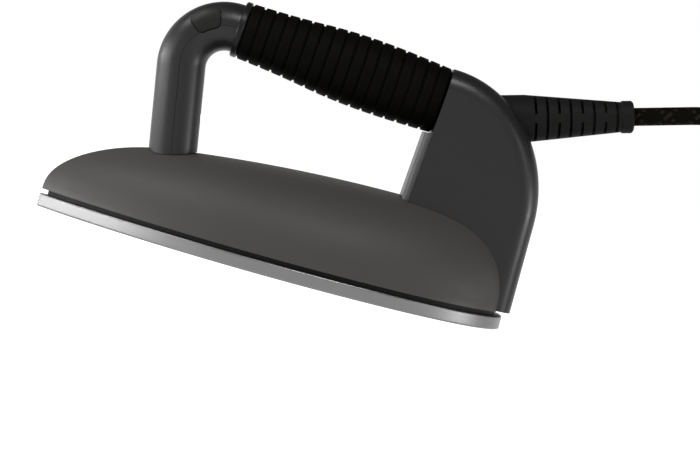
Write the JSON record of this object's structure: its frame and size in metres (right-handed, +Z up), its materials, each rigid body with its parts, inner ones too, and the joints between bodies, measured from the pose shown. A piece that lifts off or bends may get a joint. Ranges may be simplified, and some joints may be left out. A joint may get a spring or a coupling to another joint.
{
  "type": "clothes_iron",
  "caption": "Steam-station clothes iron with a pointed polished sole, domed body, post-and-bend handle with ribbed rubber grip, side steam button and braided supply hose.",
  "frame": {"origin": "middle of the sole's flat underside, half way between nose tip and heel on the line of symmetry", "axes": "-X points to the nose and +X to the heel and hose, +Y to the side without the button, +Z up from the sole; the iron stands flat on its sole"},
  "size_m": [0.546, 0.1257, 0.1292],
  "materials": {
    "polished_sole": "mirror-bright polished side, brushed underside",
    "cast_aluminium": "as cast, matt",
    "element_steel": "heat-tinted tube",
    "silicone": "matt",
    "sheet_steel": "rolled, light scratches",
    "screw_steel": "zinc plated",
    "brass": "turned",
    "ceramic_body": "matt",
    "black_plastic": "fine texture",
    "warm_grey_plastic": "soft satin",
    "handle_grey_plastic": "satin",
    "collar_plastic": "satin",
    "grip_rubber": "matt, ribbed",
    "button_plastic": "satin",
    "lead_insulation": "satin",
    "housing_grey_plastic": "satin",
    "strip_grey_plastic": "satin",
    "boot_rubber": "matt",
    "hose_braid": "textile braid with paler flecks"
  },
  "bodies": {
    "iron": {"base_skirt": "black_plastic", "body_cover": "warm_grey_plastic", "chamber_screws": "screw_steel", "clamp_screws": "screw_steel", "connector_body": "black_plastic", "connector_boot": "boot_rubber", "connector_nipple": "brass", "connector_pins": "brass", "connector_seal": "silicone", "cord_clamp": "black_plastic", "earth_tag": "brass", "grip_collar": "collar_plastic", "grip_core": "black_plastic", "handle_foot": "black_plastic", "handle_front_shell": "handle_grey_plastic", "handle_rear_shell": "handle_grey_plastic", "handle_screws": "screw_steel", "heat_shield": "sheet_steel", "heater_casting": "cast_aluminium", "heating_element": "element_steel", "hose_boot": "boot_rubber", "hose_coil": "hose_braid", "hose_inner_end": "hose_braid", "hose_run": "hose_braid", "hose_tail": "hose_braid", "housing_strip": "strip_grey_plastic", "power_leads": "lead_insulation", "rear_housing": "housing_grey_plastic", "rubber_grip": "grip_rubber", "shield_screws": "screw_steel", "shield_spacers": "ceramic_body", "soleplate": "polished_sole", "steam_chamber_cover": "sheet_steel", "steam_chamber_gasket": "silicone", "steam_inlet": "brass", "steam_tube": "silicone", "switch_body": "black_plastic", "switch_bracket": "black_plastic", "switch_leads": "lead_insulation", "terminal_block": "ceramic_body", "terminal_screws": "brass", "thermal_fuse": "brass", "thermostat": "ceramic_body", "thermostat_bracket": "sheet_steel"},
    "steam_button": {"steam_button": "button_plastic"},
    "switch_plunger": {"switch_plunger": "ceramic_body"}
  },
  "joints": [
    {"name": "button_press", "type": "slide", "parent": "iron", "child": "steam_button", "axis": [0.2514, 0.8988, -0.3591], "range_m": [0, 0.0015], "stiffness_N_per_m": 1200, "springref_m": -0.0006},
    {"name": "plunger_press", "type": "slide", "parent": "iron", "child": "switch_plunger", "axis": [0.2514, 0.8988, -0.3591], "range_m": [0, 0.0015]}
  ],
  "couplings": [
    {"joint": "plunger_press", "follows": "button_press", "ratio": 1}
  ]
}
